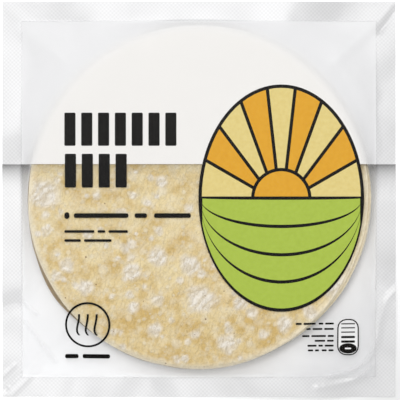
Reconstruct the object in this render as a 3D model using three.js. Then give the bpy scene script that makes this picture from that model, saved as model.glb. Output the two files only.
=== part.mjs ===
// A clear sealed bag of corn tortillas, lying flat with its printed side up.
//
// Two webs of film are welded together in a band along all four sides, with the round stack between them.
// The bag is one closed solid with the outer form of the film: a flat disc underneath, steep walls where the
// stack comes close to the middle of each side, long slopes down to the corners, and the thin welded band.
//
// Millimetres, +Z up. The origin is on the floor under the middle of the bag, and +Y is the top of the print.
import * as THREE from "three";

// ---- the stack and the bag ----
const TORTILLA_COUNT = 8;
const TORTILLA_THICKNESS = 1.5;
const AIR_BETWEEN = 0.07; // tortillas are never quite flat
const STACK_RADIUS = 76;
const STACK_SHIFT_Y = 1.2; // the stack lies a little towards the top of the print
const BAG_WIDTH = 174.6;
const BAG_LENGTH = 175.6;
const BAND_WIDTH = 8.8;
const BAND_THICKNESS = 0.5; // two webs of film with their embossing

// ---- the welded band ----
const BAND_HEIGHT_MIDDLE = 5.6; // the stack holds the band up at the middle of a side
const BAND_HEIGHT_CORNER = 1.1; // and lets it down nearly to the floor at the corners
const BAND_FALL = 1.4; // power of the cosine that lets it down
const BAND_DROOP = 0.9; // the outer edge hangs lower than the inner edge at the middle of a side
const CORNER_DROOP = 0.2; // the part of that droop which is left at a corner

// The band ripples where the stack has pulled the film in. Each side has crests and hollows of its own:
// how far each lies from the middle of the side, towards +X or +Y, how high it stands and how wide it is.
const RIPPLES = {
  right: [
    { at: 62, lift: 0.5, width: 12 },
    { at: 17, lift: -0.8, width: 10 },
    { at: -2, lift: 0.6, width: 8 },
    { at: -36, lift: -0.7, width: 9 },
    { at: -51, lift: 1.0, width: 6 },
    { at: -66, lift: -0.3, width: 6 },
  ],
  top: [
    { at: -46, lift: 0.8, width: 12 },
    { at: -12, lift: -0.8, width: 12 },
    { at: 37, lift: 0.8, width: 12 },
    { at: 66, lift: -0.5, width: 9 },
  ],
  left: [
    { at: 42, lift: 0.4, width: 10 },
    { at: 16, lift: -0.5, width: 10 },
    { at: -33, lift: 0.5, width: 8 },
    { at: -48, lift: -0.6, width: 6 },
    { at: -60, lift: 0.5, width: 6 },
  ],
  bottom: [
    { at: -45, lift: 0.5, width: 8 },
    { at: -21, lift: -0.6, width: 9 },
    { at: -4, lift: 0.4, width: 7 },
    { at: 14, lift: -0.5, width: 8 },
    { at: 35, lift: 0.5, width: 9 },
    { at: 58, lift: -0.3, width: 8 },
  ],
};

// ---- the corners, where the film is loose ----
// A crease crosses the band at each corner, and a fold of slack film bends round the stack inside it.
const CORNERS = {
  bottomRight: { crease: 0.6, fold: 1.3, foldRadius: 99 },
  topRight: { crease: 1.2, fold: 0.6, foldRadius: 93 },
  topLeft: { crease: 0.4, fold: 0.5, foldRadius: 92 },
  bottomLeft: { crease: 1.1, fold: 0.7, foldRadius: 94 },
};
const FOLD_WIDTH = 4.5;
const FOLD_REACH = 5; // power that keeps the folds near the corners

// ---- the film between the stack and the band ----
const SHOULDER_RADIUS = 2.2; // where the film turns down over the top tortilla
const WALL_CURVE = 1.5; // power of the fall: the film is steepest at the stack
const FOOT_RADIUS = 74.5; // the flat disc that the bag rests on
const FOOT_EDGE_RISE = 0.35; // the rounded edge of that disc
const UNDER_CURVE = 1.2; // power of the rise of the lower web

// ---- mesh ----
const STEPS_PER_SIDE = 30;
const SLOPE_STEPS = 9;
const SHOULDER_STEPS = 4;
const UNDERSIDE_RINGS = [38, FOOT_RADIUS];
const UNDERSIDE_SHARES = [0, 0.4, 0.75];
const PLATEAU_RINGS = [60, 40, 20];

const SIDES = ["right", "top", "left", "bottom"];
const FIRST_CORNERS = ["bottomRight", "topRight", "topLeft", "bottomLeft"]; // where each side begins
const SEGMENTS = SIDES.length * STEPS_PER_SIDE;
const STACK_HEIGHT = TORTILLA_COUNT * TORTILLA_THICKNESS + (TORTILLA_COUNT - 1) * AIR_BETWEEN;
const OUTER = { x: BAG_WIDTH / 2, y: BAG_LENGTH / 2 };
const INNER = { x: OUTER.x - BAND_WIDTH, y: OUTER.y - BAND_WIDTH };

// The surface is divided all round into segments. Each lies on one side of the bag, and its place along
// that side runs from -1 at one corner, through 0 at the middle, to 1 at the next corner.
const sideOf = (segment) => Math.floor(segment / STEPS_PER_SIDE) % SIDES.length;
const alongOf = (segment) => (2 * (segment % STEPS_PER_SIDE)) / STEPS_PER_SIDE - 1;
const isCorner = (segment) => segment % STEPS_PER_SIDE === 0;

function nearestCorner(segment) {
  const ahead = alongOf(segment) > 0 ? 1 : 0;
  return CORNERS[FIRST_CORNERS[(sideOf(segment) + ahead) % SIDES.length]];
}

function onRectangle(segment, half) {
  const along = alongOf(segment);
  return [
    [half.x, half.y * along],
    [-half.x * along, half.y],
    [-half.x, -half.y * along],
    [half.x * along, -half.y],
  ][sideOf(segment)];
}

function onCircle(segment, radius) {
  const angle = (sideOf(segment) * 2 * Math.PI) / SIDES.length + Math.atan(alongOf(segment));
  return [radius * Math.cos(angle), radius * Math.sin(angle) + STACK_SHIFT_Y];
}

const mix = (a, b, share) => a + (b - a) * share;
const bump = (distance, width) => Math.exp(-((distance / width) ** 2));

// Between the stack, at share 0, and the inner edge of the band, at share 1.
function onSlope(segment, share) {
  const [stackX, stackY] = onCircle(segment, STACK_RADIUS);
  const [bandX, bandY] = onRectangle(segment, INNER);
  return [mix(stackX, bandX, share), mix(stackY, bandY, share)];
}

function ripple(segment) {
  const side = SIDES[sideOf(segment)];
  const [x, y] = onRectangle(segment, INNER);
  const place = side === "right" || side === "left" ? y : x;
  return RIPPLES[side].reduce((sum, { at, lift, width }) => sum + lift * bump(place - at, width), 0);
}

// The middle of the band's thickness, at its inner and its outer edge.
function innerHeight(segment) {
  if (isCorner(segment)) return BAND_HEIGHT_CORNER + nearestCorner(segment).crease;
  const fall = Math.cos((Math.PI / 2) * alongOf(segment)) ** BAND_FALL;
  return Math.max(mix(BAND_HEIGHT_CORNER, BAND_HEIGHT_MIDDLE, fall) + ripple(segment), BAND_THICKNESS);
}

function outerHeight(segment) {
  const droop = BAND_DROOP * mix(1, CORNER_DROOP, Math.abs(alongOf(segment)));
  return Math.max(innerHeight(segment) - droop, BAND_THICKNESS);
}

function foldHeight(segment, share) {
  const { fold, foldRadius } = nearestCorner(segment);
  const [x, y] = onSlope(segment, share);
  const fromStack = Math.hypot(x, y - STACK_SHIFT_Y);
  return fold * bump(fromStack - foldRadius, FOLD_WIDTH) * Math.abs(alongOf(segment)) ** FOLD_REACH;
}

// ---- the stations, which are the rings of the surface: each gives the point of a segment ----
function undersideStations() {
  const middle = () => [0, STACK_SHIFT_Y, 0];
  const foot = UNDERSIDE_RINGS.map((radius) => (s) => [...onCircle(s, radius), 0]);
  const lowerWeb = UNDERSIDE_SHARES.map((share) => (s) => {
    const top = innerHeight(s) - BAND_THICKNESS / 2;
    return [...onSlope(s, share), mix(FOOT_EDGE_RISE, top, share ** UNDER_CURVE)];
  });
  return [middle, ...foot, ...lowerWeb];
}

function bandStations() {
  const half = BAND_THICKNESS / 2;
  return [
    (s) => [...onRectangle(s, INNER), innerHeight(s) - half],
    (s) => [...onRectangle(s, OUTER), outerHeight(s) - half],
    (s) => [...onRectangle(s, OUTER), outerHeight(s) + half],
    (s) => [...onRectangle(s, INNER), innerHeight(s) + half],
  ];
}

function slopeStations() {
  const top = STACK_HEIGHT - SHOULDER_RADIUS;
  return Array.from({ length: SLOPE_STEPS }, (_, i) => (s) => {
    const share = (SLOPE_STEPS - 1 - i) / SLOPE_STEPS;
    const bottom = innerHeight(s) + BAND_THICKNESS / 2;
    return [...onSlope(s, share), mix(bottom, top, (1 - share) ** WALL_CURVE) + foldHeight(s, share)];
  });
}

function topStations() {
  const shoulder = Array.from({ length: SHOULDER_STEPS }, (_, i) => (s) => {
    const turn = ((i + 1) / SHOULDER_STEPS) * (Math.PI / 2);
    const radius = STACK_RADIUS - SHOULDER_RADIUS * (1 - Math.cos(turn));
    return [...onCircle(s, radius), STACK_HEIGHT - SHOULDER_RADIUS * (1 - Math.sin(turn))];
  });
  const plateau = PLATEAU_RINGS.map((radius) => (s) => [...onCircle(s, radius), STACK_HEIGHT]);
  const middle = () => [0, STACK_SHIFT_Y, STACK_HEIGHT];
  return [...shoulder, ...plateau, middle];
}

// A lathe joins the stations into one closed surface, and then each of its points is put in its true place.
function bagGeometry() {
  const stations = [...undersideStations(), ...bandStations(), ...slopeStations(), ...topStations()];
  const last = stations.length - 1;
  const outline = stations.map((_, i) => new THREE.Vector2(i === 0 || i === last ? 0 : 1, i));
  const geometry = new THREE.LatheGeometry(outline, SEGMENTS);
  const points = geometry.attributes.position;
  for (let i = 0; i < points.count; i++) {
    const segment = Math.floor(i / stations.length) % SEGMENTS;
    const place = stations[i % stations.length];
    points.setXYZ(i, ...place(segment));
  }
  geometry.computeVertexNormals();
  return geometry;
}

const film = new THREE.MeshStandardMaterial({ color: 0xf1f0ec, roughness: 0.3, metalness: 0 });

const bag = new THREE.Mesh(bagGeometry(), film);
bag.name = "sealed_bag";

const pack = new THREE.Group();
pack.add(bag);

export default pack;
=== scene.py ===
import math
import random
from functools import partial

import bmesh
import bpy
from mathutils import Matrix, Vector
from mathutils.bvhtree import BVHTree
from mathutils.kdtree import KDTree


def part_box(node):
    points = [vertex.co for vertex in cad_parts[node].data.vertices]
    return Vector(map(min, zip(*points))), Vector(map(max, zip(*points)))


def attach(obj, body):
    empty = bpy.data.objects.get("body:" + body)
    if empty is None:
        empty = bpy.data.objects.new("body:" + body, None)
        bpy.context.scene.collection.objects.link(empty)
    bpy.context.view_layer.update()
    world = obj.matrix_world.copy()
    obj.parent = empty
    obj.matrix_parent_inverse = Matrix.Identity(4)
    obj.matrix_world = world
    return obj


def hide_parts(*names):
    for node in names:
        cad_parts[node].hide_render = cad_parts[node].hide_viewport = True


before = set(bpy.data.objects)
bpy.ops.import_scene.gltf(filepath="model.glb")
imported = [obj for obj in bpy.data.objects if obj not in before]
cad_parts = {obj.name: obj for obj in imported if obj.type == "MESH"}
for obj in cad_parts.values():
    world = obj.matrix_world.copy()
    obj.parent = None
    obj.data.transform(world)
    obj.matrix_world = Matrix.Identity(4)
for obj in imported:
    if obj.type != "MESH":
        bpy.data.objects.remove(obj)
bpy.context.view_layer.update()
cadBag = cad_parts["sealed_bag"]
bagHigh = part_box("sealed_bag")[1]
mm = 0.001

# A flat square bag of corn tortillas: two webs of film welded in a knurled band on all four sides,
# the front web clear with printing on its inner face, and eight tortillas stacked between them.
# Sizes in the dictionaries are millimetres, from the middle of the bag, +y towards the top of the print.
bag = {
    "bandWidth": 8.73,
    "stackShift": 1.2,  # the stack lies this far above the middle
    "filmThickness": 0.06,
    "whiteEdge": 15.5,  # lower edge of the white printed half
    "startHeight": 30,  # new sheets start flat above the bag and are dropped onto a form
}
halfWidth = bagHigh.x / mm
halfLength = bagHigh.y / mm
windowX = halfWidth - bag["bandWidth"]
windowY = halfLength - bag["bandWidth"]
dice = random.Random(8)


def pick(piece):
    bpy.ops.object.select_all(action="DESELECT")
    piece.select_set(True)
    bpy.context.view_layer.objects.active = piece


def named(name):
    piece = bpy.context.object
    piece.name = name
    piece.data.name = name
    return piece


def startEdit(piece, kind="FACE", start="DESELECT"):
    pick(piece)
    bpy.ops.object.mode_set(mode="EDIT")
    bpy.ops.mesh.select_mode(type=kind)
    bpy.ops.mesh.select_all(action=start)


def endEdit():
    bpy.ops.object.mode_set(mode="OBJECT")


def choose(piece, kind, test):
    # kind is verts, edges or faces, as in the select mode
    mesh = bmesh.from_edit_mesh(piece.data)
    for part in getattr(mesh, kind):
        part.select_set(test(part))
    mesh.select_flush_mode()
    bmesh.update_edit_mesh(piece.data)


def modify(piece, kind, **settings):
    pick(piece)
    modifier = piece.modifiers.new(kind.title(), kind)
    for setting, value in settings.items():
        setattr(modifier, setting, value)
    bpy.ops.object.modifier_apply(modifier=modifier.name)


def fixPlace(piece):
    pick(piece)
    bpy.ops.object.transform_apply(location=True, rotation=True, scale=True)


def sized(width, length):
    # the newest piece, stretched by these two factors
    piece = bpy.context.object
    piece.scale = (width, length, 1)
    fixPlace(piece)
    return piece


def copyOf(piece, name):
    pick(piece)
    bpy.ops.object.duplicate()
    return named(name)


def joined(pieces, name):
    pick(pieces[0])
    for piece in pieces:
        piece.select_set(True)
    bpy.ops.object.join()
    return named(name)


def discard(*pieces):
    for piece in pieces:
        bpy.data.objects.remove(piece)


def dropOnto(piece, form):
    modify(
        piece, "SHRINKWRAP", target=form, wrap_method="PROJECT", use_project_z=True,
        use_negative_direction=True, use_positive_direction=True,
    )


def relax(piece, rounds):
    modify(piece, "SMOOTH", factor=0.5, iterations=rounds, use_x=False, use_y=False)


def swell(piece, name, size, depth):
    # soft random waves of about this size, half of the depth up and half down
    texture = bpy.data.textures.new(name, "CLOUDS")
    texture.noise_scale = size * mm
    texture.noise_depth = 2
    modify(
        piece, "DISPLACE", texture=texture, texture_coords="LOCAL", direction="Z",
        strength=depth * mm, mid_level=0.5,
    )


def sunk(piece, depth):
    # moves a sheet under the film, along its own normals
    modify(piece, "DISPLACE", strength=-depth * mm, mid_level=0)


def thin(piece, thickness):
    modify(piece, "SOLIDIFY", thickness=thickness * mm, offset=-1)


def finishPiece(piece, material, smoothAngle=50):
    pick(piece)
    bpy.ops.object.shade_smooth_by_angle(angle=math.radians(smoothAngle))
    piece.data.materials.clear()
    piece.data.materials.append(material)
    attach(piece, "root")
    print(f"{piece.name}: {len(piece.data.polygons)} faces")


def linear(hexColour):
    channels = [int(hexColour[at:at + 2], 16) / 255 for at in (1, 3, 5)]
    return [*(c / 12.92 if c <= 0.04045 else ((c + 0.055) / 1.055) ** 2.4 for c in channels), 1]


def node(material, kind, inputs=(), operation=None, **settings):
    # adds one node; a list fills its inputs in order, and a dictionary by name or number. An input is a
    # value, a hex colour, one output of another node, or that node for its first output in use
    tree = material.node_tree
    made = tree.nodes.new("ShaderNode" + kind)
    if operation:
        made.operation = operation
    for setting, value in settings.items():
        setattr(made, setting, value)
    for socket, value in inputs.items() if isinstance(inputs, dict) else enumerate(inputs):
        if isinstance(value, str):
            value = linear(value)
        if isinstance(value, bpy.types.Node):
            value = next(output for output in value.outputs if output.enabled)
        if isinstance(value, bpy.types.NodeSocket):
            tree.links.new(value, made.inputs[socket])
        else:
            made.inputs[socket].default_value = value
    return made


def newMaterial(name):
    # the empty material, the function that adds a node to it, and the place that its patterns read
    material = bpy.data.materials.new(name)
    material.use_nodes = True
    material.node_tree.nodes.clear()
    add = partial(node, material)
    return material, add, add("TexCoord").outputs["Object"]


def perMetre(size):
    return 1 / (size * mm)  # a texture's scale for a pattern of that many millimetres


# In the materials, a Mix node's inputs 0, 6 and 7 are its share and its two colours, and a MapRange node's
# inputs are the value, the two ends that it comes from and the two that it is put between.
def clearFilm():
    # Polypropylene, cast and stretched: what lies below shows clear, and each face mirrors a little light,
    # more at a slant, with a faint haze from the slip coating; sharp creases turn it milky, a whitening that
    # also stands in as a painted sheen along them
    film, add, place = newMaterial("castClearPolypropylene")
    haze = add("TexNoise", {"Vector": place, "Scale": perMetre(30), "Detail": 2})
    flatGloss = add("MapRange", [haze, 0, 1, 0.0027, 0.0046])
    facing = add("LayerWeight", {"Blend": 0.5}).outputs["Facing"]
    grazing = add("Math", [facing, 4], "POWER")
    gloss = add("Math", [grazing, 0.6, flatGloss], "MULTIPLY_ADD")
    mirror = add(
        "BsdfPrincipled", {"Base Color": "#fafaf9", "Metallic": 0.85, "Roughness": 0.25, "IOR": 1.49},
    )
    through = add("BsdfTransparent")
    mixed = add("MixShader", [gloss, through, mirror])
    creaseWhiteAndSheen = add("Attribute", attribute_name="creaseWhiteAndSheen").outputs["Fac"]
    milk = add("BsdfDiffuse", {"Color": "#f8f8f9"})
    whitened = add("MixShader", [creaseWhiteAndSheen, mixed, milk])
    add("OutputMaterial", [whitened])
    return film


def fromStack(add, place):
    # the distance in metres from the middle of the stack, whatever the height
    centred = add("Mapping", {"Vector": place, "Location": (0, -bag["stackShift"] * mm, 0)})
    flat = add("VectorMath", [centred, (1, 1, 0)], "MULTIPLY")
    return add("VectorMath", [flat], "LENGTH")


def whiteInk(name, litOverFood, shadedClearOfFood):
    # White gravure ink on the inner face of the film, painted warm and bright where it is pressed against the
    # dough, for the food and the light behind it, and painted cooler and greyer, as shade, where the film
    # stands clear of it
    ink, add, place = newMaterial(name)
    gap = fromStack(add, place)
    clearOf = add("MapRange", [gap, 71.5 * mm, 79.5 * mm], interpolation_type="SMOOTHSTEP")
    base = add("Mix", {0: clearOf, 6: litOverFood, 7: shadedClearOfFood}, data_type="RGBA")
    mottle = add("TexNoise", {"Vector": place, "Scale": perMetre(14), "Detail": 3})
    tone = add("MapRange", [mottle, 0, 1, 0.98])
    colour = add("Mix", {0: 1, 6: base, 7: tone}, data_type="RGBA", blend_type="MULTIPLY")
    surface = add(
        "BsdfPrincipled", {"Base Color": colour, "Roughness": 0.4, "IOR": 1.49, "Specular IOR Level": 0.15},
    )
    through = add("BsdfTransparent")
    mixed = add("MixShader", [0.05, surface, through])
    add("OutputMaterial", [mixed])
    return ink


def milkyFilm():
    # Polypropylene with a little white pigment: what lies below shows through as if through milk. A painted
    # contact shadow makes it greyer along the rim of the stack, and lighter at the left
    film, add, place = newMaterial("milkyPigmentedPolypropylene")
    cloud = add("TexNoise", {"Vector": place, "Scale": perMetre(18), "Detail": 3})
    clear = add("MapRange", [cloud, 0, 1, 0.34, 0.42])
    fromRim = add("Math", [fromStack(add, place), 75.7 * mm], "SUBTRACT")
    gap = add("Math", [fromRim], "ABSOLUTE")
    shadeFall = add("MapRange", [gap, 0, 3.6 * mm])
    shadeFalling = add("Math", [shadeFall, 0.6], "POWER")
    across = add("SeparateXYZ", [place]).outputs["X"]
    deepestShade = add("MapRange", [across, -73 * mm, -64 * mm, 0.94, 0.72])  # the painted shadow is lighter at the left
    tone = add("MapRange", [shadeFalling, 0, 1, deepestShade])
    colour = add("Mix", {0: 1, 6: "#f2f2f3", 7: tone}, data_type="RGBA", blend_type="MULTIPLY")
    surface = add("BsdfPrincipled", {"Base Color": colour, "Roughness": 0.3, "IOR": 1.49})
    glow = add("BsdfTranslucent", {"Color": colour})
    body = add("MixShader", [0.5, surface, glow])
    through = add("BsdfTransparent", {"Color": tone})
    mixed = add("MixShader", [clear, body, through])
    add("OutputMaterial", [mixed])
    return film


def shadeFade(add, height, reach):
    # 1 at the lower edge of the white half, fading to 0 at the middle of the bag
    last = 0.075  # what the power leaves at the middle, before the range is stretched to 0
    below = add("MapRange", [height, bag["whiteEdge"] * mm, 0, 0, reach])
    fade = add("Math", [last, below], "POWER")
    return add("MapRange", [fade, last])


def shadeInk():
    # A painted shadow below the edge of the white, laid as a sheet of dark ink: it fades out downwards
    ink, add, place = newMaterial("paintedShadowUnderWhite")
    height = add("SeparateXYZ", [place]).outputs["Y"]
    gap = fromStack(add, place)
    inside, outside = 75.5 * mm, 76.5 * mm  # of the stack's rim
    reach = add("MapRange", [gap, inside, outside, 2, 1])  # shorter over the food
    strength = add("MapRange", [gap, inside, outside, 0.17, 0.68])
    cover = add("Math", [shadeFade(add, height, reach), strength], "MULTIPLY")
    dark = add("BsdfDiffuse", {"Color": "#1c1a18"})
    through = add("BsdfTransparent")
    mixed = add("MixShader", [cover, through, dark])
    add("OutputMaterial", [mixed])
    return ink


weld = {
    "cells": 400,  # across the whole bag; the knurl's pitch is four cells, 1.75 mm
    "bandCells": 20,
    "relief": 0.06,
    "thickness": 0.25,
    "drop": 0.03,  # pressed a little below the loose film
    "bead": 0.05,  # film squeezed out along the inner edge
}


def knurlPitch(half):
    # the knurl's period in metres along a side of this half length in millimetres: four cells
    cell = 2 * halfWidth / weld["cells"]
    return 4 * 2 * half * mm / round(2 * half / cell)


def weldedFilm():
    # Both webs fused by a knurled hot jaw: milky white, glossy on the knurl's ridges
    film, add, place = newMaterial("knurledWeldedPolypropylene")
    split = add("SeparateXYZ", [place])
    across, height = split.outputs["X"], split.outputs["Y"]
    below, above = (bag["whiteEdge"] - 0.1) * mm, (bag["whiteEdge"] + 0.1) * mm
    printed = add("MapRange", [height, below, above])
    # the painted shadow below the edge of the white half, carried on across the weld
    cover = add("Math", [shadeFade(add, height, 1), 0.85], "MULTIPLY")
    shaded = add("Mix", {0: cover, 6: "#f5f5f6", 7: "#1c1a18"}, data_type="RGBA")
    colour = add("Mix", {0: printed, 6: shaded, 7: "#e8e8e9"}, data_type="RGBA")
    # the pits of the knurl are fused clear and painted darker than its peaks, partly as their shade
    waves = []
    for along, half in ((across, halfWidth), (height, halfLength)):
        fromEdge = add("Math", [along, half * mm], "ADD")
        turns = add("Math", [fromEdge, 2 * math.pi / knurlPitch(half)], "MULTIPLY")
        waves.append(add("Math", [turns], "COSINE"))
    knurl = add("Math", [waves[0], waves[1]], "MULTIPLY")
    tone = add("MapRange", [knurl, -1, 1, 0.92, 1.05])
    # painted shade, darker towards the lower right where the light falls off, and soft random patches of tone
    # where the webs are fused clearer
    lowerRight = add("Math", [height, -0.5, across], "MULTIPLY_ADD")
    shadedTowardsLowerRight = add("MapRange", [lowerRight, 0, 126 * mm, 1, 0.84])
    pressure = add("TexNoise", {"Vector": place, "Scale": perMetre(26), "Detail": 1})
    patch = add("MapRange", [pressure, 0.38, 0.62, 0.94, 1.03])
    both = add("Math", [tone, shadedTowardsLowerRight], "MULTIPLY")
    every = add("Math", [both, patch], "MULTIPLY")
    toned = add("Mix", {0: 1, 6: colour, 7: every}, data_type="RGBA", blend_type="MULTIPLY")
    scuff = add("TexNoise", {"Vector": place, "Scale": perMetre(5), "Detail": 4})
    rough = add("MapRange", [scuff, 0, 1, 0.2, 0.3])
    surface = add("BsdfPrincipled", {
        "Base Color": toned, "Roughness": rough, "IOR": 1.49, "Coat Weight": 0.65, "Coat Roughness": 0.27,
    })
    add("OutputMaterial", [surface])
    return film


def printInk(name, hexColour, darker):
    # Gravure ink seen through gloss film: even, with a slight mottle where the roller's cells ran short
    ink, add, place = newMaterial(name)
    mottle = add("TexNoise", {"Vector": place, "Scale": perMetre(1.6), "Detail": 4})
    share = add("MapRange", [mottle, 0.3, 0.8])
    colour = add("Mix", {0: share, 6: hexColour, 7: darker}, data_type="RGBA")
    surface = add(
        "BsdfPrincipled", {"Base Color": colour, "Roughness": 0.4, "IOR": 1.49, "Specular IOR Level": 0},
    )
    add("OutputMaterial", [surface])
    return ink


def paleSpots(add, place, size, least, most):
    # soft round spots, one to a cell of that many millimetres, where steam lifted the skin
    cells = add("TexVoronoi", {"Vector": place, "Scale": perMetre(size), "Randomness": 0.9})
    pickOne = add("SeparateXYZ", [cells.outputs["Color"]])
    reach = add("MapRange", [pickOne, 0.25, 1, least, most])
    share = add("Math", [cells, reach], "DIVIDE")
    return add("MapRange", [share, 0.55, 1.1, 1, 0], interpolation_type="SMOOTHSTEP")


doughTint = {
    "baked": "#d6b774", "palest": "#eedbab", "flour": "#f0e4c8", "spot": "#f2e9d4", "groove": "#ac9262",
    "wrinkleDipShade": "#e2d6c0", "wrinkleRidgeLight": "#f6efe3", "fleck": "#7a5230",
}


def bakedCornDough(name, shift, leftRim, rightRim):
    # Nixtamal corn dough, pressed and baked on a hot belt: dull gold, mottled, with pale dry blisters
    dough, add, place = newMaterial(name)
    split = add("SeparateXYZ", [place])
    moved = add("Mapping", {"Vector": place, "Location": (shift * mm, -shift * mm, 0)})
    patches = add("TexNoise", {"Vector": moved, "Scale": perMetre(11), "Detail": 5, "Roughness": 0.6})
    patchShare = add("MapRange", [patches, 0.34, 0.58])
    # darker towards the lower edge
    darkerLow = add("MapRange", [split.outputs["Y"], -70 * mm, -30 * mm, -0.5, 0])
    paleness = add("Math", [patchShare, darkerLow], "ADD", use_clamp=True)
    gold = add("Mix", {0: paleness, 6: doughTint["baked"], 7: doughTint["palest"]}, data_type="RGBA")
    flour = add("TexNoise", {"Vector": moved, "Scale": perMetre(4.2), "Detail": 4, "Roughness": 0.58})
    flourShare = add("MapRange", [flour, 0.45, 0.66, 0, 0.55])
    # the skin is drawn one way, as the sheet was rolled, and crumples across it
    drawn = add(
        "Mapping", {"Vector": moved, "Rotation": (0, 0, -0.45), "Scale": (1, 2.4, 1)}, vector_type="TEXTURE",
    )
    crumple = add("TexNoise", {
        "Vector": drawn, "Scale": perMetre(1.8), "Detail": 2, "Roughness": 0.5, "Distortion": 0.9,
    })
    fromRidge = add("Math", [crumple, 0.5], "SUBTRACT")
    ridge = add("Math", [fromRidge], "ABSOLUTE")
    groove = add("MapRange", [ridge, 0, 0.05, 1, 0])
    large, small = paleSpots(add, moved, 6.5, 0.12, 0.42), paleSpots(add, moved, 3.4, 0.1, 0.4)
    spots = add("Math", [large, small], "MAXIMUM")
    spotShare = add("Math", [spots, 0.42], "MULTIPLY")
    rim = add("Attribute", attribute_name="rim").outputs["Fac"]
    rimShare = add("Math", [rim, 0.9], "MULTIPLY")
    # the rim's colour goes from the left one to the right one; a toasted left rim also carries painted shade
    rightShare = add("MapRange", [split.outputs["X"], -20 * mm, 20 * mm])
    rimColour = add("Mix", {0: rightShare, 6: leftRim, 7: rightRim}, data_type="RGBA")
    # the skin of a blister falls in parallel wrinkles as it cools, with painted shade in their dips and
    # painted light on their ridges; a scale of 0.314 is one wave a metre
    turned = add("Mapping", {"Vector": moved, "Rotation": (0, 0, 0.9)})
    wrinkle = add("TexWave", {
        "Vector": turned, "Scale": 0.314 * perMetre(3.5), "Distortion": 10, "Detail": 2, "Detail Scale": 1.6,
    }).outputs["Fac"]
    wrinkled = add(
        "Mix", {0: wrinkle, 6: doughTint["wrinkleDipShade"], 7: doughTint["wrinkleRidgeLight"]}, data_type="RGBA",
    )
    blister = add("Attribute", attribute_name="blister").outputs["Fac"]
    ragged = add("MapRange", [flour, 0.3, 0.7, 0.85, 1.2])
    paleShare = add("Math", [blister, ragged], "MULTIPLY", use_clamp=True)
    grooveShare = add("Math", [blister, 0.22, 0.08], "MULTIPLY_ADD")
    grooveTint = add("Math", [groove, grooveShare], "MULTIPLY")
    skin = gold
    for share, colour in (
        (flourShare, doughTint["flour"]), (spotShare, doughTint["spot"]), (rimShare, rimColour),
        (paleShare, wrinkled), (grooveTint, doughTint["groove"]),
    ):
        skin = add("Mix", {0: share, 6: skin, 7: colour}, data_type="RGBA")
    grain = add("TexNoise", {"Vector": moved, "Scale": perMetre(0.8), "Detail": 3})
    grainTone = add("MapRange", [grain, 0.3, 0.7, 0.92, 1.05])
    grained = add("Mix", {0: 1, 6: skin, 7: grainTone}, data_type="RGBA", blend_type="MULTIPLY")
    cells = add("TexVoronoi", {"Vector": moved, "Scale": perMetre(4.4)})
    cellPick = add("SeparateXYZ", [cells.outputs["Color"]])
    fleckSize = add("MapRange", [cellPick, 0.45, 1, 0, 0.095])
    fleck = add("Math", [cells, fleckSize], "LESS_THAN")
    fleckShare = add("Math", [fleck, 0.75], "MULTIPLY")
    flecked = add("Mix", {0: fleckShare, 6: grained, 7: doughTint["fleck"]}, data_type="RGBA")
    grooved = add("Math", [groove, -0.6, flour], "MULTIPLY_ADD")
    raised = add("Math", [spots, 0.6, grooved], "MULTIPLY_ADD")
    folded = add("Math", [wrinkle, blister], "MULTIPLY")
    height = add("Math", [folded, 0.36, raised], "MULTIPLY_ADD")
    relief = add("Bump", {"Height": height, "Strength": 0.8, "Distance": 0.25 * mm})
    surface = add("BsdfPrincipled", {"Base Color": flecked, "Roughness": 0.78, "IOR": 1.45, "Normal": relief})
    add("OutputMaterial", [surface])
    return dough


def lightTable():
    # Opal acrylic, sanded: matt white, with a painted glow of its own that pales the shadows, stronger
    # towards the upper left as a painted light falloff across the bag
    opal, add, place = newMaterial("sandedOpalAcrylic")
    split = add("SeparateXYZ", [place])
    diagonal = add("Math", [split.outputs["X"], split.outputs["Y"]], "SUBTRACT")
    glow = add("MapRange", [diagonal, 70 * mm, 170 * mm, 0.64, 0.22])
    surface = add("BsdfPrincipled", {
        "Base Color": (0.68, 0.68, 0.68, 1), "Roughness": 0.9,
        "Emission Color": (0.99, 1, 1, 1), "Emission Strength": glow,
    })
    add("OutputMaterial", [surface])
    return opal


filmFinish = clearFilm()
whiteFinish = whiteInk("gravureWhiteInk", "#f9f7f4", "#f5f5f6")
badgeFinish = whiteInk("gravureWhiteInkInTwoPasses", "#fbfbfa", "#fbfbfb")
backFinish = milkyFilm()
weldFinish = weldedFilm()
shadeFinish = shadeInk()
blackFinish = printInk("gravureBlackInk", "#100f0e", "#1b1917")
greenFinish = printInk("gravureGreenInk", "#b3c954", "#abc14c")
orangeFinish = printInk("gravureOrangeInk", "#e7ae39", "#e0a32f")
yellowFinish = printInk("gravurePaleYellowInk", "#e9d791", "#e2cd82")
print("materials ready")


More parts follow.
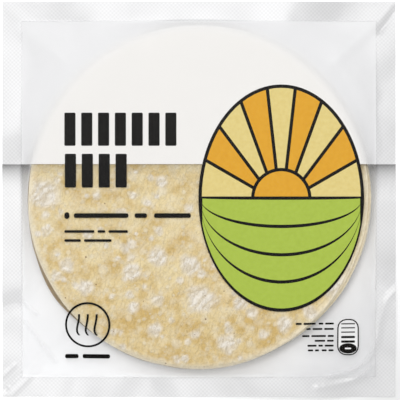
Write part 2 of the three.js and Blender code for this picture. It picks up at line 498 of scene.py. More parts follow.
# The mould is the height of the front web everywhere, which film, weld and printing all lie on.
mould = {
    "cells": 350,
    "overhang": 0.7,  # past the bag's edge
    "rimPush": 1.02,  # how much the CAD bag's rim is widened, to reach under that overhang
    "softening": 13,  # how far taut film bridges sharp bends
    "sway": 0.22,  # slow waves of the film
    "swaySize": 26,
    "pathGap": 0.3,  # a crease lifts in full what lies this close to its path
}
creases = [  # slack folds, which fall off smoothly, and sharp ones: how high, how wide and along which paths
    {"lift": 0.55, "width": 3.2, "falloff": "SHARP", "whiteningAndSheen": 0.3, "paths": [
        [(88.6, -39.3), (83.7, -44.6), (80.6, -52.6), (78.9, -62.4), (74.9, -70.8), (68.7, -75.7),
         (58.5, -78.3)],
        [(76.7, -73.9), (70.0, -79.6), (60.7, -82.3), (52.7, -83.6)],
    ]},
    {"lift": 0.25, "width": 2.4, "falloff": "SHARP", "whiteningAndSheen": 0.15, "paths": [
        [(-78.4, -45.1), (-71.8, -51.3)],
        [(-77.1, -54.4), (-63.8, -72.1)],
    ]},
    {"lift": 0.25, "width": 4.5, "paths": [
        [(-78.4, 74.1), (-68.2, 60.8), (-73.5, 46), (-77.1, 21.8)],
        [(62, 62), (70, 50), (76, 36), (77.5, 22)],
    ]},
    {"lift": 0.5, "width": 8, "paths": [[(40, 78), (56, 70.5), (67, 60), (74.5, 46)]]},
    {"lift": 0.5, "width": 2.8, "falloff": "SHARP", "paths": [
        [(-83.5, -87.5), (-75.5, -79.5)],
        [(-87.5, -79), (-82, -74)],
    ]},
    {"lift": -0.6, "width": 3.0, "falloff": "SHARP", "paths": [
        [(87.7, 84.7), (80.2, 74.1)],
        [(-86, -84.5), (-61.6, -60.1)],
    ]},
    # crests of the wide soft folds across the band, and their hollows
    {"lift": 0.7, "width": 13, "paths": [
        [(-45, 76.5), (-37.5, 88.5)],
        [(33, 76.5), (42, 88.5)],
        [(-77.5, 37.5), (-88, 23)],
        [(77.5, 62), (88, 74)],
        [(77.5, 2), (88, 0)],
    ]},
    {"lift": -0.6, "width": 13, "paths": [
        [(-22, 76.5), (-14, 88.5)],
        [(58, 76.5), (66, 88.5)],
        [(-77.5, 17), (-88, 15)],
        [(77.5, 30), (88, 22)],
    ]},
    # small folds near the outer edge of the left band, and their hollows
    {"lift": 0.45, "width": 8, "paths": [[(-82, -40), (-88, -42)], [(-82, -52), (-88, -55)]]},
    {"lift": -0.4, "width": 8, "paths": [[(-82, -46), (-88, -48)], [(-82, -62), (-88, -65)]]},
    # crests of the narrower folds of the lower and right bands, and their hollows
    {"lift": 0.85, "width": 10, "paths": [
        [(-62, -77), (-66, -88.5)],
        [(-35, -77), (-41, -88.5)],
        [(-13, -78), (-5, -88.5)],
        [(45, -77), (52, -88.5)],
        [(77.5, -37), (88, -45)],
    ]},
    {"lift": -0.8, "width": 10, "paths": [
        [(-50, -77), (-54, -88.5)],
        [(-22, -77), (-25, -88.5)],
        [(13, -77), (19, -88.5)],
        [(65, -79), (69, -88.5)],
        [(77.5, -28), (88, -33)],
        [(77.5, -54), (88, -58)],
    ]},
    # the corner that hangs
    {"lift": -0.9, "width": 24, "paths": [[(88, -80), (88, -88.5), (80, -88.5)]]},
]


def halfOf(name, upper):
    # one face of the CAD bag, merged, as quads, with its outer rim pushed past the bag's edge
    face = bpy.data.objects.new(name, cadBag.data.copy())
    bpy.context.scene.collection.objects.link(face)
    startEdit(face, start="SELECT")
    bpy.ops.mesh.remove_doubles(threshold=0.001 * mm)
    bpy.ops.mesh.tris_convert_to_quads()
    upright = 0.02  # a normal that rises or falls less than this belongs to the bag's edge
    choose(face, "faces", lambda f: f.normal.z < upright if upper else f.normal.z > -upright)
    bpy.ops.mesh.delete(type="FACE")
    bpy.ops.mesh.select_mode(type="VERT")
    choose(face, "verts", lambda v: max(abs(v.co.x) - bagHigh.x, abs(v.co.y) - bagHigh.y) > -0.1 * mm)
    bpy.ops.transform.resize(value=(mould["rimPush"], mould["rimPush"], 1), center_override=(0, 0, 0))
    endEdit()
    modify(face, "SUBSURF", levels=2, render_levels=2)
    return face


def smoothPath(points, steps=24):
    # a curve through the points, close enough together to find the vertices along it
    padded = [points[0], *points, points[-1]]
    path = []
    for i in range(len(points) - 1):
        a, b, c, d = (Vector(p) for p in padded[i:i + 4])
        for step in range(steps):
            t = step / steps
            path.append(0.5 * (2 * b + (c - a) * t + (2 * a - 5 * b + 4 * c - d) * t * t
                               + (3 * b - 3 * c + d - a) * t ** 3))
    return path + [Vector(points[-1])]


def pathFinder(crease):
    points = [point for path in crease["paths"] for point in smoothPath(path)]
    finder = KDTree(len(points))
    for index, point in enumerate(points):
        finder.insert((point.x * mm, point.y * mm, 0), index)
    finder.balance()
    return finder


def creaseMould(piece, crease):
    finder = pathFinder(crease)
    startEdit(piece, "VERT")
    choose(piece, "verts", lambda v: finder.find((v.co.x, v.co.y, 0))[2] < mould["pathGap"] * mm)
    bpy.ops.transform.translate(
        value=(0, 0, crease["lift"] * mm), use_proportional_edit=True, proportional_size=crease["width"] * mm,
        proportional_edit_falloff=crease.get("falloff", "SMOOTH"),
    )
    endEdit()


def flatGrid(name, columns, rows, width, length):
    bpy.ops.mesh.primitive_grid_add(
        x_subdivisions=columns, y_subdivisions=rows, size=1, location=(0, 0, bag["startHeight"] * mm),
    )
    sized(width * mm, length * mm)
    return named(name)


def makeMould():
    form = halfOf("upperHalf", True)
    width, length = 2 * (halfWidth + mould["overhang"]), 2 * (halfLength + mould["overhang"])
    piece = flatGrid("mould", mould["cells"], mould["cells"], width, length)
    dropOnto(piece, form)
    relax(piece, mould["softening"])
    swell(piece, "sway", mould["swaySize"], mould["sway"])
    taut = copyOf(piece, "tautMould")
    for crease in creases:
        creaseMould(piece, crease)
    relax(piece, 1)
    discard(form)
    return piece, taut


mouldForm, tautForm = makeMould()
lowerForm = halfOf("lowerHalf", False)
print("mould ready")


web = {
    "discRadius": 72.5,
    "underLap": 0.3,  # under the weld's inner edge
    "creaseWidth": 0.9,  # how far a sharp crease is milky, with its painted sheen, to each side
    "foldsFrom": 0.82,  # the share of the way out to the weld where the back web begins to follow the folds
    "foldsWithin": 0.15,  # the share within which it comes to follow them in full
    "floorGap": 0.1,
    "atWeld": 0.25,  # how far the back web lies below the mould at the weld
}
frontWeb = {  # collar: the rings over the shoulder of the stack
    "around": 640, "discRings": 14, "collar": (73.4, 74.2, 74.9, 75.5, 76.0), "slopeCuts": 44,
}
backWeb = {"around": 480, "discRings": 6, "collar": (73.5, 74.4, 75.2, 76.0), "slopeCuts": 28}


def onWindow(point, lap):
    # where the spoke through this point of a circle meets the window, evenly spread along each side
    angle = math.atan2(point.y - bag["stackShift"] * mm, point.x)
    side = round(angle / (math.pi / 2)) * math.pi / 2
    along = (angle - side) / (math.pi / 4)
    x = math.cos(side) - math.sin(side) * along
    y = math.sin(side) + math.cos(side) * along
    return Vector((x * (windowX + lap) * mm, y * (windowY + lap) * mm, point.z))


def faceUp(piece):
    startEdit(piece)
    choose(piece, "faces", lambda f: f.normal.z < 0)
    bpy.ops.mesh.flip_normals()
    endEdit()


def makeWeb(name, cuts):
    # a disc over the stack, a collar round its shoulder, and a skirt out to the rectangular window
    centre = (0, bag["stackShift"] * mm, bag["startHeight"] * mm)
    bpy.ops.mesh.primitive_circle_add(
        vertices=cuts["around"], radius=web["discRadius"] * mm, fill_type="NGON", location=centre,
    )
    piece = named(name)
    fixPlace(piece)
    startEdit(piece, start="SELECT")
    for ring in range(cuts["discRings"]):
        bpy.ops.mesh.inset(thickness=web["discRadius"] * mm / (cuts["discRings"] + 1))
    bpy.ops.mesh.merge(type="COLLAPSE")
    bpy.ops.mesh.select_mode(type="EDGE")
    before = web["discRadius"]
    for radius in cuts["collar"]:
        choose(piece, "edges", lambda e: e.is_boundary)
        bpy.ops.mesh.extrude_edges_move()
        share = radius / before
        bpy.ops.transform.resize(value=(share, share, 1), center_override=centre)
        before = radius
    choose(piece, "edges", lambda e: e.is_boundary)
    bpy.ops.mesh.extrude_edges_move()
    mesh = bmesh.from_edit_mesh(piece.data)
    for vertex in mesh.verts:
        if vertex.is_boundary:
            vertex.co = onWindow(vertex.co, web["underLap"])
    choose(piece, "edges", lambda e: e.verts[0].is_boundary != e.verts[1].is_boundary)
    bpy.ops.mesh.subdivide(number_cuts=cuts["slopeCuts"])
    endEdit()
    faceUp(piece)
    return piece


def skinOf(form):
    bpy.context.view_layer.update()
    return BVHTree.FromObject(form, bpy.context.evaluated_depsgraph_get())


def heightOver(skin, place):
    # the height of that form below or above this place, found by a ray from over the whole bag
    hit = skin.ray_cast(Vector((place.x, place.y, 50 * mm)), Vector((0, 0, -1)))[0]
    return hit.z if hit else 0


def fitUnderMould(piece):
    # near the weld the back web folds with the front one, off the floor, and under the weld they meet
    folded, taut = skinOf(mouldForm), skinOf(tautForm)
    for vertex in piece.data.vertices:
        place = vertex.co
        outward = max(abs(place.x) / windowX, abs(place.y) / windowY) / mm
        share = min(1, max(0, (outward - web["foldsFrom"]) / web["foldsWithin"]))
        front = heightOver(folded, place)
        fold = front - heightOver(taut, place)
        height = max(place.z + share * fold, min(place.z, web["floorGap"] * mm))
        ceiling = front - web["atWeld"] * mm
        vertex.co.z = ceiling if outward > 1 else min(height, ceiling)


def whitenAndSheenCreases(piece):
    # the attribute tells the film's material where a sharp crease has turned it milky, which is also its
    # painted sheen
    milky = piece.data.attributes.new("creaseWhiteAndSheen", "FLOAT", "POINT")
    for crease in creases:
        if "whiteningAndSheen" in crease:
            finder = pathFinder(crease)
            for vertex in piece.data.vertices:
                gap = finder.find((vertex.co.x, vertex.co.y, 0))[2] / mm
                share = crease["whiteningAndSheen"] * math.exp(-(gap / web["creaseWidth"]) ** 2)
                milky.data[vertex.index].value = max(milky.data[vertex.index].value, share)


def makeBackFilm():
    piece = makeWeb("backFilm", backWeb)
    dropOnto(piece, lowerForm)
    relax(piece, 3)
    fitUnderMould(piece)
    startEdit(piece, start="SELECT")
    bpy.ops.mesh.flip_normals()
    endEdit()
    thin(piece, bag["filmThickness"])
    finishPiece(piece, backFinish)
    return piece


printSheet = makeWeb("printSheet", frontWeb)  # the outer face of the front web, kept until all is printed
dropOnto(printSheet, mouldForm)
relax(printSheet, 2)
frontFilm = copyOf(printSheet, "frontFilm")
whitenAndSheenCreases(frontFilm)
thin(frontFilm, bag["filmThickness"])
finishPiece(frontFilm, filmFinish, 80)
backFilm = makeBackFilm()
print("films ready")


def makeWeldBand():
    rows = round(halfLength / halfWidth * weld["cells"])
    cell, rowHeight = 2 * halfWidth * mm / weld["cells"], 2 * halfLength * mm / rows
    piece = flatGrid("weldBand", weld["cells"], rows, 2 * halfWidth, 2 * halfLength)
    innerX = (halfWidth * mm) - weld["bandCells"] * cell
    innerY = (halfLength * mm) - weld["bandCells"] * rowHeight
    startEdit(piece)
    choose(
        piece, "faces",
        lambda f: abs(f.calc_center_median().x) < innerX and abs(f.calc_center_median().y) < innerY,
    )
    bpy.ops.mesh.delete(type="FACE")
    endEdit()
    dropOnto(piece, mouldForm)
    startEdit(piece, "VERT")

    def knurl(vertex, sign):
        # whether a vertex is a peak of the knurl, for sign 1, or a pit, for -1
        column = round((vertex.co.x + halfWidth * mm) / cell)
        row = round((vertex.co.y + halfLength * mm) / rowHeight)
        if vertex.is_boundary or column % 2 or row % 2:
            return False
        return ((column + row) % 4 == 0) == (sign > 0)

    for sign in (1, -1):
        choose(piece, "verts", lambda v: knurl(v, sign))
        bpy.ops.transform.translate(value=(0, 0, sign * weld["relief"] * mm))
    choose(
        piece, "verts",
        lambda v: v.is_boundary and abs(v.co.x) < innerX + cell and abs(v.co.y) < innerY + cell,
    )
    bpy.ops.transform.translate(value=(0, 0, weld["bead"] * mm))
    bpy.ops.mesh.select_all(action="SELECT")
    bpy.ops.transform.translate(value=(0, 0, -weld["drop"] * mm))
    endEdit()
    thin(piece, weld["thickness"])
    finishPiece(piece, weldFinish)
    return piece


weldBand = makeWeldBand()
print("weld ready")


tortilla = {
    "count": 8,
    "pitch": 1.5,
    "thickness": 1.42,
    "radius": 75.2,
    "topRadius": 74.6,
    "edgeSteps": (0.7, 0.8, 1.0, 1.2, 1.5, 2.0, 2.6),  # finer rings near the rim, which bends
    "rimRound": 0.5,
    "rimWidth": 3.4,
    "rimColour": "#fff5dc",  # pale and dry
    # a toasted rim, darker still with painted shade where the side of the stack lies in shade at the lower
    # left
    "shadedToastedRim": "#a39079",
    "shadedToasted": (3, 5),
    "sides": 144,
    "rings": 21,
    "lowerRings": 3,
    "unevenRim": 0.45,
    "floorGap": 0.1,
    "filmGap": 0.3,  # room for the printing between the top tortilla and the film
}
# rims that lie out of round: at which angle, how far out and how wide in degrees
bulges = {3: (213, 1.9, 15), 5: (206, 1.0, 16), 6: (0, -0.9, 26), 7: (0, -2.3, 28)}
leaning = [  # from the lowest up: how far each lies off the middle of the stack
    (0.3, -0.4), (-0.6, 0.3), (0.8, 0.5), (-0.8, -0.7), (1.0, 0.4), (-0.9, -0.9), (0.2, 0.2), (-1.2, -1.6),
]
blisters = [  # x, y and diameter of the large ones on the top tortilla
    (0.9, -44.2, 12.4), (-19.5, -57.5, 6.2), (12.4, -63.7, 8.4), (-18.2, -25.6, 8.4), (-29.7, -31.8, 8.0),
    (-4.0, -29.1, 9.0), (9.3, -26.9, 8.0), (-18.2, -44.6, 5.3), (18.2, -46.0, 6.2), (23.5, -50.0, 5.3),
    (-1.8, -59.7, 4.4), (-8.4, -35.8, 3.5), (7.1, -14.5, 6.5), (-50.1, -38.9, 7.1), (-58.5, -29.1, 6.2),
    (-33.7, -65.0, 3.1), (-38.5, -42.9, 2.6), (-28.8, -47.7, 5.3), (-37.7, -58.4, 3.1), (37.7, -55.3, 7.1),
    (49.2, -50.0, 6.2), (58.5, -37.1, 11.0), (28.4, -59.7, 4.4), (-68.2, 2.3, 13.0), (-67.4, -14.0, 5.0),
    (-32.8, -21.6, 4.4), (-45.2, 1.4, 3.5), (-21.3, 9.4, 3.2), (-16.4, 7.6, 5.0), (62.0, -22.0, 8.0),
]
smallBlisters = {"count": 150, "least": 1.4, "most": 5.2, "height": 0.1}
blisterForm = {  # distances are shares of a blister's half width, and dome and rim of its height
    "height": 0.16, "perWidth": 0.012,  # of the large ones: what the widths add to
    "dome": 0.55, "rim": 0.45, "rimAt": 0.9, "rimSpread": 0.16,
    "reach": 1.25, "fade": 0.6,  # where its pale skin ends, and over what distance
    "orders": (2, 3, 5), "leastLobe": 0.02, "mostLobe": 0.07,  # waves of its outline, and how deep they are
    "smallBelow": 6, "smallPale": 0.85,  # one less wide than this is a little less pale
    "within": 0.75,  # the share of its width round its middle that is searched for vertices
}
pressed = {
    "overTop": 0.45,  # above the top tortilla, for its highest blister
    "overNext": 0.15,  # above the next one, which shows past the rim of the top one
    "pastRim": 0.5, "step": 1.5,  # where the one room begins to pass to the other, and within what distance
    "least": 0.2,  # of its height is what any vertex keeps
}


def centreOf(index):
    x, y = leaning[index]
    return x, y + bag["stackShift"]


def makeTortilla(name, radius, rings, level):
    bpy.ops.mesh.primitive_cylinder_add(
        vertices=tortilla["sides"], radius=radius * mm, depth=tortilla["thickness"] * mm,
        location=(0, 0, 0), end_fill_type="NGON",
    )
    piece = named(name)
    startEdit(piece, "EDGE")
    choose(piece, "edges", lambda e: abs(e.verts[0].co.z - e.verts[1].co.z) < 0.01 * mm)
    bpy.ops.mesh.bevel(offset=tortilla["rimRound"] * mm, segments=3, affect="EDGES")
    bpy.ops.mesh.select_mode(type="FACE")
    reach = radius - tortilla["rimRound"] - sum(tortilla["edgeSteps"])
    for side, count in ((1, rings), (-1, 1)):
        choose(piece, "faces", lambda f: f.normal.z * side > 0.99 and len(f.verts) > 4)
        for step in tortilla["edgeSteps"]:
            bpy.ops.mesh.inset(thickness=step * mm)
        for ring in range(count):
            bpy.ops.mesh.inset(thickness=reach / (count + 1) * mm)
        bpy.ops.mesh.merge(type="COLLAPSE")
    endEdit()
    modify(piece, "SUBSURF", levels=level, render_levels=level, subdivision_type="SIMPLE")
    rim = piece.data.attributes.new("rim", "FLOAT", "POINT")
    for vertex in piece.data.vertices:
        inside = radius * mm - vertex.co.xy.length
        rim.data[vertex.index].value = max(0, 1 - inside / (tortilla["rimWidth"] * mm))
    return piece


def unevenOutline(piece, index):
    # an outline pressed by hand-set plates is never a true circle
    depth = tortilla["unevenRim"]
    waves = [(order, depth / order ** 0.7, dice.uniform(0, 2 * math.pi)) for order in (2, 3, 5, 8, 13, 21)]
    turn, bulge, width = bulges.get(index, (0, 0, 1))
    for vertex in piece.data.vertices:
        flat = vertex.co.xy.length
        angle = math.atan2(vertex.co.y, vertex.co.x)
        push = sum(size * math.cos(order * angle + phase) for order, size, phase in waves)
        away = (math.degrees(angle) - turn + 180) % 360 - 180
        push += bulge * math.exp(-(away / width) ** 2)
        if flat > 0:
            share = (flat / (tortilla["radius"] * mm)) ** 6  # it dies away quickly towards the middle
            vertex.co.xy *= 1 + push * mm * share / flat


def spreadBlisters():
    # x, y, diameter and height of each: the large ones, and small ones thrown at random
    base, more = blisterForm["height"], blisterForm["perWidth"]
    spots = [(x, y, size, base + more * size) for x, y, size in blisters]
    for number in range(smallBlisters["count"]):
        reach = tortilla["radius"] * math.sqrt(dice.random()) * 0.98  # evenly, up to just inside the edge
        turn = dice.uniform(0, 2 * math.pi)
        size = dice.uniform(smallBlisters["least"], smallBlisters["most"]) * dice.uniform(0.5, 1)
        spots.append((reach * math.cos(turn), reach * math.sin(turn), size, smallBlisters["height"]))
    return spots


def raiseBlisters(piece, centre):
    # thin domes with a raised rim and an uneven outline; the attribute tells the material where they are
    pale = piece.data.attributes.new("blister", "FLOAT", "POINT")
    finder = KDTree(len(piece.data.vertices))
    for vertex in piece.data.vertices:
        if vertex.co.z > 0.3 * mm:  # the upper face alone
            finder.insert((vertex.co.x, vertex.co.y, 0), vertex.index)
    finder.balance()
    form = blisterForm
    for x, y, size, height in spreadBlisters():
        middle = Vector(((x - centre[0]) * mm, (y - centre[1]) * mm, 0))
        lobes = [
            (order, dice.uniform(form["leastLobe"], form["mostLobe"]), dice.uniform(0, 6.3))
            for order in form["orders"]
        ]
        strength = 1 if size > form["smallBelow"] else form["smallPale"]
        for place, index, gap in finder.find_range(middle, size * form["within"] * mm):
            angle = math.atan2(place.y - middle.y, place.x - middle.x)
            lobe = sum(depth * math.cos(order * angle + turn) for order, depth, turn in lobes)
            share = gap / (size / 2 * mm * (1 + lobe))
            if share < form["reach"]:
                dome = max(0, 1 - share ** 4)
                rim = math.exp(-((share - form["rimAt"]) / form["rimSpread"]) ** 2)
                piece.data.vertices[index].co.z += height * mm * (form["dome"] * dome + form["rim"] * rim)
                cover = min(1, max(0, (form["reach"] - share) / form["fade"])) * strength
                pale.data[index].value = max(pale.data[index].value, cover)


def placeTortilla(piece, index):
    lowest = tortilla["floorGap"] + tortilla["thickness"] / 2
    x, y = centreOf(index)
    piece.location = (x * mm, y * mm, (lowest + index * tortilla["pitch"]) * mm)
    fixPlace(piece)


def pressUnderFilm(pieces):
    # the taut film presses the edge of the stack down, all tortillas in proportion
    skin = skinOf(mouldForm)
    top = tortilla["floorGap"] + (tortilla["count"] - 1) * tortilla["pitch"] + tortilla["thickness"]
    covered = top + pressed["overTop"]
    bare = top - tortilla["pitch"] + pressed["overNext"]
    centre = Vector(centreOf(tortilla["count"] - 1)) * mm
    for piece in pieces:
        for vertex in piece.data.vertices:
            past = (vertex.co.xy - centre).length / mm - tortilla["topRadius"] - pressed["pastRim"]
            share = min(1, max(0, past / pressed["step"]))
            full = covered + (bare - covered) * share
            room = heightOver(skin, vertex.co) / mm - tortilla["filmGap"]
            if room < full:
                vertex.co.z *= max(pressed["least"], room / full)


def makeStack():
    last = tortilla["count"] - 1
    topOne = makeTortilla(f"tortilla{tortilla['count']}", tortilla["topRadius"], tortilla["rings"], 2)
    unevenOutline(topOne, last)
    swell(topOne, "doughSwell", 16, 0.25)
    swell(topOne, "doughPits", 3, 0.12)
    raiseBlisters(topOne, centreOf(last))
    placeTortilla(topOne, last)
    lower = makeTortilla("tortilla1", tortilla["radius"], tortilla["lowerRings"], 1)
    stack = [lower] + [copyOf(lower, f"tortilla{number}") for number in range(2, tortilla["count"])]
    for index, piece in enumerate(stack):
        piece.rotation_euler.z = dice.uniform(0, 2 * math.pi)
        fixPlace(piece)
        unevenOutline(piece, index)
        placeTortilla(piece, index)
        swell(piece, f"lowerSwell{index}", 22, 0.15)
    stack.append(topOne)
    pressUnderFilm(stack)
    for index, piece in enumerate(stack):
        # the left rims of the toasted ones are darkened by painted shade as well as toasting
        leftRim = tortilla["shadedToastedRim" if index in tortilla["shadedToasted"] else "rimColour"]
        dough = bakedCornDough(f"bakedCornDough{index + 1}", 31 * index, leftRim, tortilla["rimColour"])
        finishPiece(piece, dough)
    return stack


stack = makeStack()
print("tortillas ready")


# The printing lies on the inner face of the front web, in layers of ink at these depths.
inkThickness = 0.015
depths = {"barOnBlack": 0.065, "colour": 0.075, "backing": 0.1, "white": 0.13, "shade": 0.16}
cutStep = {"flat": 3.0, "shoulder": 0.7}  # how finely a shape is cut to bend with the film
printHeight = 20 * mm  # where a shape is drawn flat, before it is laid on the film
heading = {  # plain upright blocks that stand for large letters
    "ink": 0.66,  # the share of a block in its pitch
    "corner": 0.5,
    "rows": [
        {"left": -59.4, "right": -9.97, "low": 23.6, "high": 38.2, "blocks": 7},
        {"left": -59.2, "right": -31.9, "low": 5.2, "high": 20.05, "blocks": 4},
    ],
}
textLines = [  # middle height and thickness of each line, and the left and right end of each word, as bars
    (-7.2, 3.0, [(-59.4, -57.2)]),
    (-7.2, 2.0, [(-55.2, -31.2), (-28.4, -23.0), (-19.8, -3.6)]),
    (-14.2, 1.1, [(-59.4, -46.2), (-44.7, -41.4), (-39.9, -31.4)]),
    (-18.2, 1.1, [(-59.4, -52.2), (-50.7, -38.6)]),
    (-69.6, 1.9, [(-59.4, -53.4), (-51.6, -39.4)]),
    (-55.0, 0.85, [(42.7, 45.3), (46.2, 51.6), (52.9, 55.0), (55.8, 59.7)]),
    (-57.4, 0.85, [(47.4, 49.4), (50.2, 54.6), (55.4, 59.7)]),
    (-60.55, 0.85, [(45.6, 48.9), (49.7, 56.2), (57.0, 59.7)]),
    (-62.7, 0.85, [(51.2, 55.9), (56.7, 59.7)]),
    (-64.9, 0.85, [(48.0, 52.1), (52.9, 54.9), (55.7, 59.7)]),
    (-67.0, 0.85, [(48.2, 50.6), (51.4, 53.2), (54.4, 56.6), (57.4, 59.7)]),
]
barCorner = 0.4  # of a bar's thickness
warmthSign = {  # three wavy lines in a ring, for serving warm
    "centre": (-49.2, -55.5), "radius": 10.1, "stroke": 0.9, "waves": (-4.2, -0.3, 3.6), "waveHeight": 9.5,
}
badge = {
    "centre": (66.1, -61.13), "width": 9.7, "height": 16.2, "corner": 4.0, "stroke": 0.55, "barWidth": 6.2,
    "bars": [  # thickness, corner and heights
        (0.5, 0.2, (-55.2, -57.0, -58.9)), (1.0, 0.35, (-61.1, -63.1)),
    ],
    "dotHeight": -66.15, "dotHalfWidth": 3.9, "dotHalfHeight": 2.3,
    "dotBar": {"width": 2.8, "thickness": 0.7, "corner": 0.25},
}
artwork = {  # a sun rising over ploughed land, in an upright oval
    "centre": (36.3, 0.5),
    "halfWidth": 35.8,
    "halfHeight": 49.4,
    "stroke": 1.46,
    "sunRadius": 12.6,
    "rays": 9,
    "furrows": (0, 12.5, 25, 37, 49.4),
    "furrowEnd": 34.8,
}
artMiddle = (artwork["centre"][0] * mm, artwork["centre"][1] * mm, printHeight)


def roundBar(left, right, middle, thickness, corner):
    bpy.ops.mesh.primitive_plane_add(size=1, location=((left + right) / 2 * mm, middle * mm, printHeight))
    bar = sized((right - left) * mm, thickness * mm)
    startEdit(bar, start="SELECT")
    bpy.ops.mesh.bevel(offset=corner * mm, segments=4, affect="VERTICES")
    endEdit()
    return bar


def oval(centre, halfWidth, halfHeight, vertices, fill="NGON"):
    place = (centre[0] * mm, centre[1] * mm, printHeight)
    bpy.ops.mesh.primitive_circle_add(vertices=vertices, radius=mm, fill_type=fill, location=place)
    return sized(halfWidth, halfHeight)


def cutAlong(piece, point, normal):
    # cuts a flat shape with a straight line and drops the side that the normal points to
    startEdit(piece, "EDGE", "SELECT")
    bpy.ops.mesh.bisect(plane_co=point, plane_no=normal, clear_outer=True)
    endEdit()


def insetFlat(piece, thickness, keep):
    # keeps only the border of this width, or only what is inside it
    startEdit(piece, start="SELECT")
    bpy.ops.mesh.inset(thickness=thickness * mm)
    if keep == "inside":
        bpy.ops.mesh.select_all(action="INVERT")
    bpy.ops.mesh.delete(type="FACE")
    endEdit()


def cutGrid(piece, step):
    # straight cuts both ways, so that a flat shape can bend with the film
    xs = [corner[0] for corner in piece.bound_box]
    ys = [corner[1] for corner in piece.bound_box]
    startEdit(piece)
    for low, high, across in ((min(xs), max(xs), (1, 0, 0)), (min(ys), max(ys), (0, 1, 0))):
        at = low + step * mm
        while at < high:
            bpy.ops.mesh.select_all(action="SELECT")
            bpy.ops.mesh.bisect(plane_co=(at, at, 0), plane_no=across)
            at += step * mm
    endEdit()


def lay(piece, layer="colour", cut="shoulder", material=blackFinish):
    cutGrid(piece, cutStep[cut])
    faceUp(piece)
    dropOnto(piece, printSheet)
    sunk(piece, depths[layer])
    thin(piece, inkThickness)
    finishPiece(piece, material)


def makeWhitePrint():
    piece = copyOf(printSheet, "whitePrint")
    cutAlong(piece, (0, bag["whiteEdge"] * mm, 0), (0, -1, 0))
    sunk(piece, depths["white"])
    thin(piece, inkThickness)
    finishPiece(piece, whiteFinish, 80)


def makePaintedShadowSheet():
    # the painted shadow below the white's edge lies in one open sheet, because a second face would dim the
    # food below it
    piece = copyOf(printSheet, "paintedShadowSheet")
    cutAlong(piece, (0, bag["whiteEdge"] * mm, 0), (0, 1, 0))
    cutAlong(piece, (0, 0, 0), (0, -1, 0))
    sunk(piece, depths["shade"])
    finishPiece(piece, shadeFinish, 80)


def makeHeading():
    blocks = []
    for row in heading["rows"]:
        middle, height = (row["low"] + row["high"]) / 2, row["high"] - row["low"]
        pitch = (row["right"] - row["left"]) / (row["blocks"] - 1 + heading["ink"])
        for index in range(row["blocks"]):
            left = row["left"] + index * pitch
            blocks.append(roundBar(left, left + pitch * heading["ink"], middle, height, heading["corner"]))
    lay(joined(blocks, "headingBlocks"), cut="flat")


def makeTextBars():
    bars = [
        roundBar(left, right, middle, thickness, thickness * barCorner)
        for middle, thickness, words in textLines for left, right in words
    ]
    lay(joined(bars, "textBars"))


def makeWarmthSign():
    x, y = warmthSign["centre"]
    ring = oval(warmthSign["centre"], warmthSign["radius"], warmthSign["radius"], 96)
    insetFlat(ring, warmthSign["stroke"], "border")
    strokes = [ring]
    for shift in warmthSign["waves"]:
        bpy.ops.curve.primitive_bezier_curve_add(
            radius=warmthSign["waveHeight"] / 2 * mm, location=((x + shift) * mm, y * mm, printHeight),
            rotation=(0, 0, math.pi / 2),
        )
        bpy.ops.object.convert(target="MESH")
        wave = bpy.context.object
        fixPlace(wave)
        startEdit(wave, "EDGE", "SELECT")
        bpy.ops.mesh.extrude_edges_move()
        bpy.ops.transform.translate(value=(warmthSign["stroke"] * mm, 0, 0))
        endEdit()
        strokes.append(wave)
    lay(joined(strokes, "warmthSign"))


def makeBadge():
    x, y = badge["centre"]
    panel = roundBar(x - badge["width"] / 2, x + badge["width"] / 2, y, badge["height"], badge["corner"])
    outline = copyOf(panel, "badgeInk")
    insetFlat(outline, badge["stroke"], "border")
    parts = [outline, oval((x, badge["dotHeight"]), badge["dotHalfWidth"], badge["dotHalfHeight"], 48)]
    half = badge["barWidth"] / 2
    for thickness, corner, heights in badge["bars"]:
        parts += [roundBar(x - half, x + half, at, thickness, corner) for at in heights]
    panel.name = "badgePanel"
    lay(panel, "backing", material=badgeFinish)
    lay(joined(parts, "badgeInk"))
    bar = badge["dotBar"]
    roundBar(x - bar["width"] / 2, x + bar["width"] / 2, badge["dotHeight"], bar["thickness"], bar["corner"])
    lay(named("badgeDotBar"), "barOnBlack", material=badgeFinish)


def makeRay(index):
    # one wedge of the fan: its inner end lies on the sun's round edge, its outer end on the oval
    radius = artwork["sunRadius"]
    piece = oval(artwork["centre"], radius, radius, 72, "NOTHING")  # its edges are longer than the inset
    startEdit(piece, "EDGE", "SELECT")
    bpy.ops.mesh.extrude_edges_move()
    reach = artwork["halfWidth"] / radius
    bpy.ops.transform.resize(value=(reach, reach, 1), center_override=artMiddle)
    endEdit()
    spread = math.pi / artwork["rays"]
    low, high = index * spread, (index + 1) * spread
    cutAlong(piece, artMiddle, (math.sin(low), -math.cos(low), 0))
    cutAlong(piece, artMiddle, (-math.sin(high), math.cos(high), 0))
    startEdit(piece, "VERT")
    choose(piece, "verts", lambda v: (v.co - Vector(artMiddle)).length > (radius + 1) * mm)
    stretch = artwork["halfHeight"] / artwork["halfWidth"]
    bpy.ops.transform.resize(value=(1, stretch, 1), center_override=artMiddle)
    endEdit()
    insetFlat(piece, artwork["stroke"] / 2, "inside")
    return piece


def makeSun():
    piece = oval(artwork["centre"], artwork["sunRadius"], artwork["sunRadius"], 72)
    cutAlong(piece, artMiddle, (0, -1, 0))
    insetFlat(piece, artwork["stroke"] / 2, "inside")
    return piece


def halfArc(depth):
    # the lower half of an oval outline that hangs this far down, cut short near its ends
    arc = oval(artwork["centre"], artwork["halfWidth"], depth, 144, "NOTHING")
    cutAlong(arc, artMiddle, (0, 1, 0))
    for side in (1, -1):
        end = artMiddle[0] + side * artwork["furrowEnd"] * mm
        cutAlong(arc, (end, artMiddle[1], printHeight), (side, 0, 0))
    return arc


def makeFurrow(high, low):
    half = artwork["stroke"] / 2
    piece = joined([halfArc(high + half), halfArc(low - half)], "furrow")
    startEdit(piece, "EDGE", "SELECT")
    bpy.ops.mesh.bridge_edge_loops()
    endEdit()
    return piece


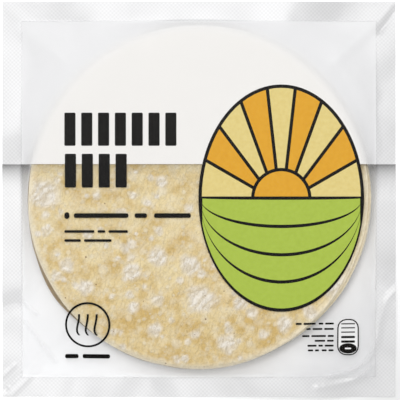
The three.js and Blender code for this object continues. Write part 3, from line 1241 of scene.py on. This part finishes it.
def makeArtwork():
    half = artwork["stroke"] / 2
    oval(artwork["centre"], artwork["halfWidth"] + half, artwork["halfHeight"] + half, 128)
    lay(named("artBacking"), "backing", "flat")
    rays = [makeRay(index) for index in range(artwork["rays"])]
    furrows = [makeFurrow(high, low) for high, low in zip(artwork["furrows"], artwork["furrows"][1:])]
    for parts, name, finish, slot in (
        (rays[1::2] + [makeSun()], "artOrange", orangeFinish, "orange_ink"),
        (rays[0::2], "artYellow", yellowFinish, "yellow_ink"),
        (furrows, "artGreen", greenFinish, "green_ink"),
    ):
        lay(joined(parts, name), "colour", "flat", finish)


makeWhitePrint()
makePaintedShadowSheet()
makeHeading()
makeTextBars()
makeWarmthSign()
makeBadge()
makeArtwork()
print("printing ready")


# The camera looks straight down, from this distance above the height of the pack's middle.
view = {"distance": 1500, "aim": (0.44, -0.33), "frameWidth": 177.25, "height": 6, "sensor": 36}
studio = {"floorGap": 0.05, "floorSize": 8000, "skyStrength": 0.53}
lamps = {  # place and size in metres, power in watts; the strip is mirrored in the folds of the lower band
    "keyLamp": {"place": (-0.15, 0.62, 1.72), "size": (1.3, 1.3), "power": 16.2},
    "stripLamp": {"place": (-0.15, -0.42, 1.72), "size": (0.8, 0.3), "power": 1.3},
}


def makeCamera():
    x, y = view["aim"]
    height = view["distance"] + view["height"]
    bpy.ops.object.camera_add(location=(x * mm, y * mm, height * mm), rotation=(0, 0, 0))
    camera = bpy.context.object
    camera.name = "camera"
    camera.data.sensor_width = view["sensor"]
    camera.data.lens = view["sensor"] * view["distance"] / view["frameWidth"]
    camera.data.clip_end = 50
    bpy.context.scene.camera = camera


def makeLamp(name, lamp):
    bpy.ops.object.light_add(type="AREA", location=lamp["place"])
    made = bpy.context.object
    made.name = name
    made.data.shape = "RECTANGLE"
    made.data.size, made.data.size_y = lamp["size"]
    made.data.energy = lamp["power"]
    away = Vector(lamp["place"])
    made.rotation_euler = (math.asin(-away.y / away.length), math.atan2(away.x, away.z), 0)


def makeStudio():
    place = (0, 0, -studio["floorGap"] * mm)
    bpy.ops.mesh.primitive_plane_add(size=studio["floorSize"] * mm, location=place)
    floor = named("floor")
    floor.data.materials.append(lightTable())
    for name, lamp in lamps.items():
        makeLamp(name, lamp)
    world = bpy.data.worlds.new("studio")
    bpy.context.scene.world = world
    world.use_nodes = True
    sky = world.node_tree.nodes["Background"]
    sky.inputs["Color"].default_value = (1, 1, 1, 1)
    sky.inputs["Strength"].default_value = studio["skyStrength"]
    bpy.context.scene.view_settings.view_transform = "Standard"


makeCamera()
makeStudio()
print("camera and lamps ready")

discard(mouldForm, tautForm, lowerForm, printSheet)
for piece in (frontFilm, backFilm, weldBand, *stack):
    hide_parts("sealed_bag")
